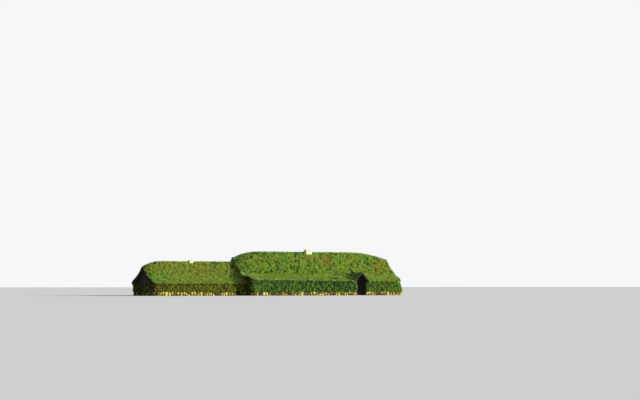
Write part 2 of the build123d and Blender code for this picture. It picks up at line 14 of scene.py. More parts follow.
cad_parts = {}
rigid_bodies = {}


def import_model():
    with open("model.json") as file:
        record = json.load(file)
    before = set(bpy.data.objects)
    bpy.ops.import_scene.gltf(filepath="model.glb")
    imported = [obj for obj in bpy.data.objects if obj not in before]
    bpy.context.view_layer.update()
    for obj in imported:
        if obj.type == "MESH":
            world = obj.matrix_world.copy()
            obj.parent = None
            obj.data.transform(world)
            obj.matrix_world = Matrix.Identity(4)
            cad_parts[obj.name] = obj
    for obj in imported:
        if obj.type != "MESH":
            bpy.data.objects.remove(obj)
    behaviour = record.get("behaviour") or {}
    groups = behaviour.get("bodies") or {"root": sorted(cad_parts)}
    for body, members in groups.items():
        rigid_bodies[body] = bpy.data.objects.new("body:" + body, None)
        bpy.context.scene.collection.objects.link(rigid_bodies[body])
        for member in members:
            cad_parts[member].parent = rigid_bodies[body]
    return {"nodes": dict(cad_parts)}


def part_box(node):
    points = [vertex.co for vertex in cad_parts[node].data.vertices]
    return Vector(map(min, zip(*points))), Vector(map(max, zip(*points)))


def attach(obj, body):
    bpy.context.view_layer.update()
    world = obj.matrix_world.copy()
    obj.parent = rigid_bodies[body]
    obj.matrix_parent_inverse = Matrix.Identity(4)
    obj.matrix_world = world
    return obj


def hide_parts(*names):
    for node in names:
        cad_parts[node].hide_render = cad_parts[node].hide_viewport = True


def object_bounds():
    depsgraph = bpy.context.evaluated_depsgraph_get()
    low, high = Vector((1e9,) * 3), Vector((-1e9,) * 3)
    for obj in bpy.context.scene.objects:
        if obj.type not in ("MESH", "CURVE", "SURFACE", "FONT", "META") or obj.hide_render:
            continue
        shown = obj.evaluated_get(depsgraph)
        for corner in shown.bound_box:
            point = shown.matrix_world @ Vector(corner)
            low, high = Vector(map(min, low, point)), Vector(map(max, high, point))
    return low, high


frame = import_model()
cad_low, cad_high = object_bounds()

# The view: from in front and to the left, far off with a long lens, low down and tipped up
# a little, so that the house stands small and low in the picture.
view_bearing = math.radians(26.234)
view_distance = 222.14
eye_height = 1.35
aim_bearing = math.radians(27.892)
aim_pitch = math.radians(2.686)
film_width = 36.0
lens_length = 101.25
sight_limit = 1500.0

camera = bpy.data.objects.new("long_lens", bpy.data.cameras.new("long_lens"))
camera.data.sensor_width = film_width
camera.data.lens = lens_length
camera.data.clip_end = sight_limit
camera.location = (
    -view_distance * math.sin(view_bearing),
    -view_distance * math.cos(view_bearing),
    eye_height,
)
camera.rotation_euler = (math.pi / 2 + aim_pitch, 0.0, -aim_bearing)
bpy.context.scene.collection.objects.link(camera)
bpy.context.scene.camera = camera


# The studio: a pale level floor that throws little light back, a pale backdrop, one low
# warm lamp from the front right, which leaves the left gables in shade, and a weak even
# light all round.
floor_size = 1200.0
floor_tone = (0.93, 0.93, 0.92, 1.0)
floor_bounce = (0.20, 0.20, 0.18, 1.0)
backdrop_tone = (0.92, 0.93, 0.94, 1.0)
even_tone = (0.76, 0.88, 1.0, 1.0)
even_strength = 0.22
lamp_tone = (1.0, 0.955, 0.88)
lamp_strength = 6.1
lamp_spread = math.radians(2.0)
lamp_bearing = math.radians(32.0)
lamp_height = math.radians(15.0)


def node(tree, kind, inputs=(), **settings):
    """Adds a node, sets it up, and links or fills its inputs, given as (socket, value)."""
    made = tree.nodes.new(kind)
    for name, value in settings.items():
        setattr(made, name, value)
    for socket, value in inputs:
        if isinstance(value, bpy.types.NodeSocket):
            tree.links.new(value, made.inputs[socket])
        else:
            made.inputs[socket].default_value = value
    return made


def maths(tree, operation, first, second=0.0):
    """What a sum on one or two values gives."""
    made = node(tree, "ShaderNodeMath", [(0, first), (1, second)], operation=operation)
    return made.outputs[0]


def mixed(tree, share, first, second):
    """The first colour at share 0, the second at share 1."""
    made = node(tree, "ShaderNodeMix", [(0, share), (6, first), (7, second)], data_type="RGBA")
    return made.outputs[2]


def blank_material(name):
    """A material with nothing but its output; returns it, its tree and the output."""
    material = bpy.data.materials.new(name)
    material.use_nodes = True
    material.node_tree.nodes.clear()
    output = material.node_tree.nodes.new("ShaderNodeOutputMaterial")
    return material, material.node_tree, output


def make_object(name, form, material=None):
    """The object of a finished bmesh, put in the scene; the bmesh is freed."""
    mesh = bpy.data.meshes.new(name)
    form.to_mesh(mesh)
    form.free()
    if material:
        mesh.materials.append(material)
    made = bpy.data.objects.new(name, mesh)
    bpy.context.scene.collection.objects.link(made)
    return made


floor_paint, tree, output = blank_material("studio_floor")
path = node(tree, "ShaderNodeLightPath")
tone = mixed(tree, path.outputs["Is Camera Ray"], floor_bounce, floor_tone)
shader = node(tree, "ShaderNodeBsdfDiffuse", [("Color", tone)])
tree.links.new(shader.outputs[0], output.inputs["Surface"])
form = bmesh.new()
bmesh.ops.create_grid(form, x_segments=1, y_segments=1, size=floor_size / 2)
floor = make_object("studio_floor", form, floor_paint)

world = bpy.data.worlds.new("studio_air")
bpy.context.scene.world = world
world.use_nodes = True
tree = world.node_tree
tree.nodes.clear()
path = node(tree, "ShaderNodeLightPath")
looked_at = path.outputs["Is Camera Ray"]
for kind in ("Is Glossy Ray", "Is Transmission Ray"):
    looked_at = maths(tree, "MAXIMUM", looked_at, path.outputs[kind])
lit = node(tree, "ShaderNodeBackground", [("Color", even_tone), ("Strength", even_strength)])
seen = node(tree, "ShaderNodeBackground", [("Color", backdrop_tone), ("Strength", 1.0)])
either = node(
    tree, "ShaderNodeMixShader", [(0, looked_at), (1, lit.outputs[0]), (2, seen.outputs[0])]
)
node(tree, "ShaderNodeOutputWorld", [("Surface", either.outputs[0])])

lamp = bpy.data.objects.new("low_lamp", bpy.data.lights.new("low_lamp", "SUN"))
lamp.data.energy = lamp_strength
lamp.data.angle = lamp_spread
lamp.data.color = lamp_tone
towards_lamp = Vector(
    (
        math.cos(lamp_height) * math.cos(lamp_bearing),
        -math.cos(lamp_height) * math.sin(lamp_bearing),
        math.sin(lamp_height),
    )
)
lamp.rotation_euler = towards_lamp.to_track_quat("Z", "Y").to_euler()
bpy.context.scene.collection.objects.link(lamp)

bpy.context.scene.view_settings.view_transform = "Standard"


# Footing: rounded field stones under the turf, cream, tan and brown, laid dry by hand in
# one or two courses, with dark packed earth behind them and in their joints.
stone_colours = [
    (0.0, (0.075, 0.057, 0.008, 1.0)),
    (0.25, (0.220, 0.178, 0.026, 1.0)),
    (0.55, (0.450, 0.385, 0.066, 1.0)),
    (1.0, (0.780, 0.710, 0.195, 1.0)),
]
earth_colours = [(0.3, (0.026, 0.024, 0.004, 1.0)), (0.7, (0.090, 0.092, 0.011, 1.0))]
stone_widths = (0.22, 0.48)
stone_half_shares = (0.42, 0.52)
stacks = (((0.0, 0.26), (0.23, 0.48)), ((0.0, 0.20), (0.18, 0.47)), ((0.0, 0.46),))
stone_height_shares = (0.85, 1.0)
stone_depth = 0.20
stone_proud = 0.07
stone_proud_shares = (0.5, 1.0)
stone_tilts = (-0.3, 0.3)
stone_tones = (-0.1, 1.05)
stone_squareness = 0.78
stone_lumps = 0.35
lumps_across = 1.3
lump_places = (0, 99)
stone_seed = 4
corner_radius = 0.4
doorway_radius = 0.1
junction_radius = 0.01
arc_steps = 6
weld_gap = 0.0005
matt_specular = 0.15
bump_strength = 0.8
noise_middle = 0.5


def ramp(tree, factor, stops):
    """A colour ramp through the given stops."""
    made = node(tree, "ShaderNodeValToRGB", [(0, factor)])
    elements = made.color_ramp.elements
    while len(elements) < len(stops):
        elements.new(1.0)
    for element, (place, colour) in zip(elements, stops):
        element.position = place
        element.color = colour
    return made.outputs["Color"]


def mottle(tree, size, stretch=(1.0, 1.0, 1.0), detail=6.0):
    """A noise of the given grain size in metres, stretched along the object's axes."""
    place = node(tree, "ShaderNodeTexCoord").outputs["Object"]
    scale = tuple(1.0 / (size * s) for s in stretch)
    place = node(tree, "ShaderNodeMapping", [("Vector", place), ("Scale", scale)])
    return node(
        tree,
        "ShaderNodeTexNoise",
        [("Vector", place.outputs[0]), ("Scale", 1.0), ("Detail", detail), ("Roughness", 0.5)],
    ).outputs["Fac"]


def finish_surface(tree, output, colour, roughness, relief=None, depth=0.01):
    """A matt surface with the given colour and, from a relief value, its bumps."""
    shader = node(
        tree, "ShaderNodeBsdfPrincipled", [("Base Color", colour), ("Roughness", roughness)]
    )
    shader.inputs["Specular IOR Level"].default_value = matt_specular
    if relief:
        bump = node(
            tree,
            "ShaderNodeBump",
            [("Height", relief), ("Distance", depth), ("Strength", bump_strength)],
        )
        tree.links.new(bump.outputs[0], shader.inputs["Normal"])
    tree.links.new(shader.outputs[0], output.inputs["Surface"])
    return shader


def dress(material, *names):
    """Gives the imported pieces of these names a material."""
    for name in names:
        frame["nodes"][name].material_slots[0].material = material


def rounded_path(corners):
    """Points along a line through corners (x, y, radius), its bends as arcs."""
    points = [Vector(corners[0][:2])]
    for before, (x, y, radius), after in zip(corners, corners[1:], corners[2:]):
        corner = Vector((x, y))
        back = (Vector(before[:2]) - corner).normalized()
        on = (Vector(after[:2]) - corner).normalized()
        centre = corner + (back + on) * radius
        for i in range(arc_steps + 1):
            turn = math.pi / 2 * i / arc_steps
            points.append(centre - on * radius * math.cos(turn) - back * radius * math.sin(turn))
    points.append(Vector(corners[-1][:2]))
    return points


def stone_places(points, chance):
    """Along a path, the middle of each stone, the direction outwards and its width."""
    lengths = [(b - a).length for a, b in zip(points, points[1:])]
    total = sum(lengths)
    at = 0.0
    while True:
        width = chance.uniform(*stone_widths)
        middle = at + width / 2
        if middle + width / 2 > total:
            return
        left = middle
        for (a, b), length in zip(zip(points, points[1:]), lengths):
            if left <= length:
                along = (b - a).normalized()
                yield a + along * left, Vector((along.y, -along.x)), width
                break
            left -= length
        at += width


def lay_stone(form, tones, chance, place, outward, width, bottom, top):
    """Adds one rounded, lumpy, slightly tilted stone, kept inside the CAD box."""
    height = (top - bottom) * chance.uniform(*stone_height_shares)
    shade = chance.uniform(*stone_tones)
    stone = bmesh.ops.create_icosphere(form, subdivisions=2, radius=1.0)["verts"]
    lumps = Vector((chance.uniform(*lump_places), chance.uniform(*lump_places), 0))
    turn = Matrix.Rotation(math.atan2(outward.x, -outward.y), 3, "Z")
    tilt = Matrix.Rotation(chance.uniform(*stone_tilts), 3, "Y")
    inward = stone_depth / 2 - stone_proud * chance.uniform(*stone_proud_shares)
    centre = place - outward * inward
    centre = Vector((centre.x, centre.y, bottom + height / 2))
    half_width = width * chance.uniform(*stone_half_shares)
    size = Vector((half_width, stone_depth / 2, height / 2))
    for vert in stone:
        square = Vector([math.copysign(abs(c) ** stone_squareness, c) for c in vert.co])
        square *= 1 + stone_lumps * noise.noise(vert.co * lumps_across + lumps)
        vert.co = centre + turn @ (tilt @ Vector([a * b for a, b in zip(square, size)]))
        vert.co = Vector([min(max(c, a), b) for c, a, b in zip(vert.co, cad_low, cad_high)])
        vert[tones] = shade


field_stone, tree, output = blank_material("field_stone")
own_tone = node(tree, "ShaderNodeAttribute", attribute_name="tone").outputs["Fac"]
tone = maths(tree, "ADD", own_tone, mottle(tree, size=0.12))
tone = maths(tree, "SUBTRACT", tone, noise_middle)
finish_surface(
    tree,
    output,
    colour=ramp(tree, tone, stone_colours),
    roughness=0.85,
    relief=mottle(tree, size=0.05),
    depth=0.02,
)
packed_earth, tree, output = blank_material("packed_earth")
finish_surface(
    tree,
    output,
    colour=ramp(tree, mottle(tree, size=0.08), earth_colours),
    roughness=0.95,
    relief=mottle(tree, size=0.04),
    depth=0.02,
)

hall_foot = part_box("hall_side_footings")
room_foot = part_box("room_side_footings")
door_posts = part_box("porch_posts")
door_left, door_right = door_posts[0].x, door_posts[1].x
hall_left, hall_right = hall_foot[0].x, hall_foot[1].x
hall_side, room_side = hall_foot[1].y, room_foot[1].y
room_left = room_foot[0].x
right_of_door = rounded_path(
    [
        (door_right, door_posts[0].y, 0),
        (door_right, -hall_side, doorway_radius),
        (hall_right, -hall_side, corner_radius),
        (hall_right, hall_side, corner_radius),
        (hall_left, hall_side, corner_radius),
        (hall_left, room_side, 0),
    ]
)
left_of_door = rounded_path(
    [
        (hall_left, room_side, 0),
        (room_left, room_side, corner_radius),
        (room_left, -room_side, corner_radius),
        (hall_left, -room_side, junction_radius),
        (hall_left, -hall_side, corner_radius),
        (door_left, -hall_side, doorway_radius),
        (door_left, door_posts[0].y, 0),
    ]
)
chance = random.Random(stone_seed)
form = bmesh.new()
tones = form.verts.layers.float.new("tone")
for points in (right_of_door, left_of_door):
    for place, outward, width in stone_places(points, chance):
        for bottom, top in chance.choice(stacks):
            lay_stone(form, tones, chance, place, outward, width, bottom, top)
bmesh.ops.remove_doubles(form, verts=form.verts, dist=weld_gap)
for face in form.faces:
    face.smooth = True
stones = make_object("footing_stones", form, field_stone)
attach(stones, "house")
dress(packed_earth, "hall_side_footings", "room_side_footings", "end_footings")


# Turf: thick sods laid grass side out, in courses up the walls and in layers on the roof
# boards. Under the grown grass they are a green felt; their cut ends are peat, made near
# black as painted shade.
sod_colours = {
    "turf_roof": [(0.38, (0.032, 0.065, 0.014, 1.0)), (0.62, (0.260, 0.430, 0.070, 1.0))],
    "turf_wall": [(0.3, (0.028, 0.065, 0.018, 1.0)), (0.7, (0.075, 0.140, 0.030, 1.0))],
    "turf_wall_dry": [(0.3, (0.062, 0.060, 0.016, 1.0)), (0.7, (0.125, 0.125, 0.026, 1.0))],
}
peat_and_painted_shade_colours = [(0.3, (0.012, 0.010, 0.007, 1.0)), (0.7, (0.050, 0.040, 0.022, 1.0))]
peat_layers = (6.0, 6.0, 1.0)
cut_end_facing = 0.85
streak_size = 0.16
streaks = {
    "turf_roof": (1.0, 2.8, 2.8),
    "turf_wall": (1.0, 1.0, 1.8),
    "turf_wall_dry": (1.0, 1.0, 1.8),
}
turf_nodes = {
    "turf_roof": [
        "hall_roof_turf_front",
        "hall_roof_turf_rear",
        "room_roof_turf_front",
        "room_roof_turf_rear",
        "porch_roof_turf",
    ],
    "turf_wall": ["hall_front_wall", "hall_rear_wall", "hall_end_wall", "cross_wall"],
    "turf_wall_dry": ["room_front_wall", "room_rear_wall", "room_end_wall"],
}

sod_materials = {}
for slot, stops in sod_colours.items():
    material, tree, output = blank_material(slot + "_ground")
    colour = ramp(tree, mottle(tree, streak_size, streaks[slot], detail=1.0), stops)
    # Cut ends along the ridge: peat, made near black as painted shade.
    if slot != "turf_wall":
        layers = ramp(tree, mottle(tree, size=0.05, stretch=peat_layers), peat_and_painted_shade_colours)
        facing = node(tree, "ShaderNodeNewGeometry").outputs["Normal"]
        facing = node(tree, "ShaderNodeSeparateXYZ", [(0, facing)]).outputs["X"]
        facing = maths(tree, "ABSOLUTE", facing)
        cut_end = maths(tree, "GREATER_THAN", facing, cut_end_facing)
        colour = mixed(tree, cut_end, colour, layers)
    finish_surface(
        tree, output, colour, roughness=0.95, relief=mottle(tree, size=0.10), depth=0.10
    )
    sod_materials[slot] = material
    dress(material, *turf_nodes[slot])


# Right end wall of the hall: turf like the other walls, between the gable boards and the
# stones. Its outer face stands a hand's breadth in, which leaves room for its grass.
right_end_inset = 0.09

form = bmesh.new()
form.from_mesh(frame["nodes"]["hall_end_wall"].data)
bmesh.ops.remove_doubles(form, verts=form.verts, dist=weld_gap)
for vert in form.verts:
    vert.co.x = min(vert.co.x, hall_right - right_end_inset)
end_sods = make_object("hall_end_sods", form, sod_materials["turf_wall"])
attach(end_sods, "house")
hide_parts("hall_end_wall")


# Grass: slender blades in tufts, which the sods have grown since they were laid. It roots
# in them, lies as wind and rain have combed it, and has dry ochre patches.
grass_colours = {
    "turf_roof": [
        (0.00, (0.040, 0.130, 0.020, 1.0)),
        (0.30, (0.190, 0.520, 0.055, 1.0)),
        (0.60, (0.470, 0.930, 0.120, 1.0)),
        (1.00, (0.840, 0.980, 0.290, 1.0)),
    ],
    "turf_wall": [
        (0.00, (0.020, 0.052, 0.022, 1.0)),
        (0.30, (0.084, 0.225, 0.045, 1.0)),
        (0.60, (0.200, 0.480, 0.080, 1.0)),
        (1.00, (0.480, 0.840, 0.130, 1.0)),
    ],
    "turf_wall_dry": [
        (0.00, (0.032, 0.036, 0.014, 1.0)),
        (0.30, (0.178, 0.235, 0.015, 1.0)),
        (0.60, (0.315, 0.430, 0.021, 1.0)),
        (1.00, (0.520, 0.660, 0.050, 1.0)),
    ],
}
dry_grass_colours = {
    "turf_roof": [(0.0, (0.420, 0.340, 0.070, 1.0)), (1.0, (0.900, 0.800, 0.230, 1.0))],
    "turf_wall": [(0.0, (0.160, 0.140, 0.040, 1.0)), (1.0, (0.400, 0.390, 0.100, 1.0))],
    "turf_wall_dry": [(0.0, (0.205, 0.130, 0.024, 1.0)), (1.0, (0.530, 0.430, 0.080, 1.0))],
}
# Painted shade and light along each blade: darker at the root, where blades shade each other,
# lighter at the tip.
painted_root_shade, painted_tip_light = 0.60, 1.15

# A blade's UV holds its tone across, and its height up: green blades in the lower half,
# dry ones in the upper half.
dry_row = 0.5
strip_margin = 0.02
strip_step = 0.004

blades_in_tuft = 5
blade_sides = 3
blade_length = 1.0
blade_length_shares = (0.65, 1.0)
blade_half_width = 0.075
blade_turns = (-0.5, 0.5)
blade_leans = (0.08, 0.42)
tuft_spread = 0.20
tuft_kinds = 4
tuft_size_base = 0.85
tuft_size_swing = 2.4
tuft_size_least = 0.35
tuft_tones = (0.28, 0.72)
ruffle_low = (-0.25, -0.30, -0.2)
ruffle_high = (0.35, 0.30, 0.35)
fine_weld = 0.0001

# Tone and dryness of a tuft: broad drifts and short streaks, with painted light and shade in the
# streaks, then the slope it grows on, which paints light and shade too, then patches, each with
# its middle, reach, lift in tone and lift in dryness.
drift_size = 1.3
drift_tone = 0.7
# Streaks: partly the grass's own tone, partly painted light on the taller clumps and painted
# shade between them.
streak_tone_and_painted_shade = 8.4
drift_dryness = 1.6
base_dryness = 0.14
# Painted light: roof tufts on the flat eaves and on the steep faces by the ridges, which the low
# lamp lights less, are made lighter; the flat eaves are also greener.
middling_slope = 0.72
flat_painted_light = 1.5
steep_painted_light = 2.0
roof_tone = 0.15
flat_greenness = 1.6
# Painted shade: wall grass on faces turned up, mostly the fringe over the eaves, is made darker.
brow_painted_shade = -0.35
# Painted shade: tufts on faces turned to the left, away from the lamp, are made darker by this
# much.
left_facing_painted_shade = 0.9
grass_patches = [
    ((7.45, -1.23, 4.0), 1.5, 0.10, 0.85),
    ((14.95, -1.74, 3.4), 1.4, 0.10, 0.80),
    ((-9.60, -0.90, 3.2), 1.2, 0.05, 0.60),
    ((6.00, 1.60, 3.6), 1.4, 0.10, 0.70),
    ((14.20, -4.60, 1.2), 4.2, 0.75, 0.10),
    ((14.00, -2.00, 3.2), 5.0, 0.25, 0.15),
    ((-10.50, 0.00, 2.0), 9.0, 0.85, 0.42),
]


def make_tuft(name, seed):
    """Slender three-sided blades that lean out from one root, of length one."""
    chance = random.Random(seed)
    form = bmesh.new()
    strip = form.loops.layers.uv.new("OFBake")
    for i in range(blades_in_tuft):
        length = blade_length * chance.uniform(*blade_length_shares)
        made = bmesh.ops.create_cone(
            form,
            cap_ends=True,
            segments=blade_sides,
            radius1=blade_half_width,
            radius2=0.0,
            depth=length,
            matrix=Matrix.Translation((0, 0, length / 2)),
        )["verts"]
        heading = 2 * math.pi * i / blades_in_tuft + chance.uniform(*blade_turns)
        lean = chance.uniform(*blade_leans)
        turn = Matrix.Rotation(heading, 4, "Z") @ Matrix.Rotation(lean, 4, "Y")
        shift = Matrix.Translation(
            (tuft_spread * math.cos(heading), tuft_spread * math.sin(heading), 0)
        )
        bmesh.ops.transform(form, matrix=shift @ turn, verts=made)
    bmesh.ops.remove_doubles(form, verts=form.verts, dist=fine_weld)
    bmesh.ops.triangulate(form, faces=form.faces)
    for face in form.faces:
        for i, loop in enumerate(face.loops):
            height = loop.vert.co.z / blade_length
            height = min(max(height, strip_margin), 1 - strip_margin)
            loop[strip].uv = (strip_step * (i - 1), height)
    return make_object(name, form)


def open_turf(name, nodes, keep):
    """One mesh of the outer faces of some turf nodes, those for which keep() holds."""
    form = bmesh.new()
    for one in nodes:
        form.from_mesh(end_sods.data if one == "hall_end_wall" else frame["nodes"][one].data)
    bmesh.ops.remove_doubles(form, verts=form.verts, dist=weld_gap)
    form.normal_update()
    hidden = [face for face in form.faces if not keep(face.calc_center_median(), face.normal)]
    bmesh.ops.delete(form, geom=hidden, context="FACES")
    return make_object(name, form)


def vectors(tree, operation, first, second=(0.0, 0.0, 0.0)):
    """What a sum on one or two directions or places gives."""
    made = node(tree, "ShaderNodeVectorMath", [(0, first), (1, second)], operation=operation)
    return made.outputs[0]


def scatter(tree, low, high, seed):
    """A value of its own for each tuft, between two others."""
    return node(
        tree,
        "FunctionNodeRandomValue",
        [(2, low), (3, high), ("Seed", seed)],
        data_type="FLOAT",
    ).outputs[1]


def cloud(tree, place, size, stretch=(1.0, 1.0, 1.0), detail=2.0):
    """A noise about nought, of a size in metres, stretched along the axes."""
    scaled = vectors(tree, "MULTIPLY", place, tuple(1.0 / (size * s) for s in stretch))
    made = node(
        tree,
        "ShaderNodeTexNoise",
        [("Vector", scaled), ("Scale", 1.0), ("Detail", detail), ("Roughness", 0.5)],
    )
    return maths(tree, "SUBTRACT", made.outputs[0], noise_middle)


def inside_box(tree, place, middle, half):
    """Whether a place lies in a box, given as its middle and half size."""
    away = vectors(tree, "ABSOLUTE", vectors(tree, "SUBTRACT", place, middle))
    share = node(tree, "ShaderNodeSeparateXYZ", [(0, vectors(tree, "DIVIDE", away, half))])
    far = maths(tree, "MAXIMUM", share.outputs[1], share.outputs[2])
    far = maths(tree, "MAXIMUM", share.outputs[0], far)
    return maths(tree, "LESS_THAN", far, 1.0)


def tone_and_dryness(tree, slot, place, normal, streak, seed):
    """How light a tuft is, from 0 to 1, and whether it is dry."""
    drift = cloud(tree, place, drift_size)
    tone = maths(tree, "MULTIPLY", drift, drift_tone)
    # Partly the grass's own tone, partly painted light on taller clumps and painted shade between
    # them.
    tone = maths(tree, "ADD", tone, maths(tree, "MULTIPLY", streak, streak_tone_and_painted_shade))
    dryness = maths(tree, "MULTIPLY", drift, drift_dryness)
    dryness = maths(tree, "ADD", dryness, base_dryness)
    for middle, reach, patch_tone, patch_dryness in grass_patches:
        away = node(tree, "ShaderNodeVectorMath", [(0, place), (1, middle)], operation="DISTANCE")
        near = maths(tree, "SUBTRACT", 1.0, maths(tree, "DIVIDE", away.outputs[1], reach))
        near = maths(tree, "MAXIMUM", near, 0.0)
        tone = maths(tree, "ADD", tone, maths(tree, "MULTIPLY", near, patch_tone))
        dryness = maths(tree, "ADD", dryness, maths(tree, "MULTIPLY", near, patch_dryness))
    facing = node(tree, "ShaderNodeSeparateXYZ", [(0, normal)])
    if slot == "turf_roof":
        # Painted light: lighter on flat eaves and steep ridge faces, which the low lamp lights
        # less.
        flat = maths(tree, "SUBTRACT", facing.outputs["Z"], middling_slope)
        flat = maths(tree, "MAXIMUM", flat, 0.0)
        steep = maths(tree, "SUBTRACT", middling_slope, facing.outputs["Z"])
        steep = maths(tree, "MAXIMUM", steep, 0.0)
        lift = maths(tree, "MULTIPLY", flat, flat_painted_light)
        lift = maths(tree, "ADD", lift, maths(tree, "MULTIPLY", steep, steep_painted_light))
        tone = maths(tree, "ADD", tone, maths(tree, "ADD", lift, roof_tone))
        dryness = maths(tree, "SUBTRACT", dryness, maths(tree, "MULTIPLY", flat, flat_greenness))
    else:
        # Painted shade: wall grass is darker where its face turns up, as under the eaves.
        brow = maths(tree, "MAXIMUM", facing.outputs["Z"], 0.0)
        tone = maths(tree, "ADD", tone, maths(tree, "MULTIPLY", brow, brow_painted_shade))
    # Painted shade: darker where the turf faces left, away from the lamp.
    left = maths(tree, "MINIMUM", facing.outputs["X"], 0.0)
    tone = maths(tree, "ADD", tone, maths(tree, "MULTIPLY", left, left_facing_painted_shade))
    tone = maths(tree, "ADD", tone, scatter(tree, *tuft_tones, seed + 1))
    tone = maths(tree, "MAXIMUM", tone, strip_margin)
    tone = maths(tree, "MINIMUM", tone, 1 - strip_margin)
    dry = maths(tree, "LESS_THAN", scatter(tree, 0.0, 1.0, seed + 3), dryness)
    return tone, dry


def lie_of_tuft(tree, normal, comb, upright, seed):
    """The turn that lays a tuft along comb, with some of the turf's own direction."""
    ruffle = node(
        tree,
        "FunctionNodeRandomValue",
        [(0, ruffle_low), (1, ruffle_high), ("Seed", seed + 2)],
        data_type="FLOAT_VECTOR",
    ).outputs[0]
    lie = vectors(tree, "ADD", ruffle, comb)
    out = node(
        tree, "ShaderNodeVectorMath", [(0, normal), ("Scale", upright)], operation="SCALE"
    ).outputs[0]
    return node(
        tree,
        "FunctionNodeAlignRotationToVector",
        [("Vector", vectors(tree, "ADD", lie, out))],
        axis="Z",
    ).outputs[0]


def grow_grass(name, nodes, keep, slot, per_metre, gap, length, comb, upright, bare, seed):
    """Grass tufts over the outer faces of some turf nodes, as one joined mesh.

    comb is the direction in which they lie, upright the share of the turf's own direction
    in it, and bare a list of boxes, as (middle, half size), in which none grows.
    """
    sods = open_turf(name, nodes, keep)
    tree = bpy.data.node_groups.new(name, "GeometryNodeTree")
    for way in ("INPUT", "OUTPUT"):
        tree.interface.new_socket("Geometry", in_out=way, socket_type="NodeSocketGeometry")
    entry = node(tree, "NodeGroupInput")
    place = node(tree, "GeometryNodeInputPosition").outputs[0]
    points = node(
        tree,
        "GeometryNodeDistributePointsOnFaces",
        [
            ("Mesh", entry.outputs[0]),
            ("Distance Min", gap),
            ("Density Max", per_metre),
            ("Seed", seed),
        ],
        distribute_method="POISSON",
    )
    normal = points.outputs["Normal"]
    rooted = points.outputs["Points"]
    for middle, half in bare:
        rooted = node(
            tree,
            "GeometryNodeDeleteGeometry",
            [("Geometry", rooted), ("Selection", inside_box(tree, place, middle, half))],
            domain="POINT",
        ).outputs[0]
    streak = cloud(tree, place, streak_size, streaks[slot], detail=1.0)
    tone, dry = tone_and_dryness(tree, slot, place, normal, streak, seed)
    held = node(tree, "GeometryNodeCaptureAttribute", [("Geometry", rooted)])
    held.capture_items.new("FLOAT", "tone")
    held.capture_items.new("FLOAT", "dry")
    tree.links.new(tone, held.inputs["tone"])
    tree.links.new(dry, held.inputs["dry"])

    size = maths(tree, "MULTIPLY", streak, tuft_size_swing)
    size = maths(tree, "ADD", size, tuft_size_base)
    size = maths(tree, "MULTIPLY", size, length)
    size = maths(tree, "MAXIMUM", size, length * tuft_size_least)
    source = node(tree, "GeometryNodeCollectionInfo", [("Separate Children", True)])
    source.inputs["Collection"].default_value = tufts
    planted = node(
        tree,
        "GeometryNodeInstanceOnPoints",
        [
            ("Points", held.outputs["Geometry"]),
            ("Instance", source.outputs[0]),
            ("Pick Instance", True),
            ("Rotation", lie_of_tuft(tree, normal, comb, upright, seed)),
            ("Scale", size),
        ],
    )
    joined = node(tree, "GeometryNodeRealizeInstances", [(0, planted.outputs[0])])
    strip = node(
        tree, "GeometryNodeInputNamedAttribute", [("Name", "OFBake")], data_type="FLOAT_VECTOR"
    )
    strip = vectors(tree, "MULTIPLY", strip.outputs[0], (1.0, dry_row, 1.0))
    row = maths(tree, "MULTIPLY", held.outputs["dry"], dry_row)
    across = node(tree, "ShaderNodeCombineXYZ", [("X", held.outputs["tone"]), ("Y", row)])
    mapped = node(
        tree,
        "GeometryNodeStoreNamedAttribute",
        [
            ("Geometry", joined.outputs[0]),
            ("Name", "OFBake"),
            ("Value", vectors(tree, "ADD", strip, across.outputs[0])),
        ],
        data_type="FLOAT2",
        domain="CORNER",
    )
    inside = vectors(tree, "MAXIMUM", place, (cad_low.x, cad_low.y, 0.0))
    inside = vectors(tree, "MINIMUM", inside, tuple(cad_high))
    kept = node(
        tree, "GeometryNodeSetPosition", [("Geometry", mapped.outputs[0]), ("Position", inside)]
    )
    node(tree, "NodeGroupOutput", [(0, kept.outputs[0])])

    sods.modifiers.new("growth", "NODES").node_group = tree
    evaluated = sods.evaluated_get(bpy.context.evaluated_depsgraph_get())
    grown = bpy.data.meshes.new_from_object(evaluated)
    bpy.data.objects.remove(sods)
    grown.materials.clear()
    grown.materials.append(grass_materials[slot])
    grass = bpy.data.objects.new(name, grown)
    bpy.context.scene.collection.objects.link(grass)
    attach(grass, "house")


grass_materials = {}
for slot, stops in grass_colours.items():
    material, tree, output = blank_material(slot + "_grass")
    place = node(tree, "ShaderNodeUVMap", uv_map="OFBake").outputs["UV"]
    parts = node(tree, "ShaderNodeSeparateXYZ", [(0, place)])
    height = maths(tree, "MULTIPLY", parts.outputs["Y"], 1 / dry_row)
    height = maths(tree, "FRACT", height)
    dry = maths(tree, "GREATER_THAN", parts.outputs["Y"], dry_row)
    green_tone = ramp(tree, parts.outputs["X"], stops)
    dry_tone = ramp(tree, parts.outputs["X"], dry_grass_colours[slot])
    # Painted shade at the root of each blade, painted light at its tip.
    light = node(
        tree,
        "ShaderNodeMapRange",
        [("Value", height), ("To Min", painted_root_shade), ("To Max", painted_tip_light)],
    )
    colour = node(
        tree,
        "ShaderNodeVectorMath",
        [(0, mixed(tree, dry, green_tone, dry_tone)), ("Scale", light.outputs[0])],
        operation="SCALE",
    )
    finish_surface(tree, output, colour.outputs[0], roughness=0.6)
    grass_materials[slot] = material

tufts = bpy.data.collections.new("tufts")
bpy.context.scene.collection.children.link(tufts)
for i in range(tuft_kinds):
    tuft = make_tuft(f"tuft_{i}", i)
    bpy.context.scene.collection.objects.unlink(tuft)
    tufts.objects.link(tuft)


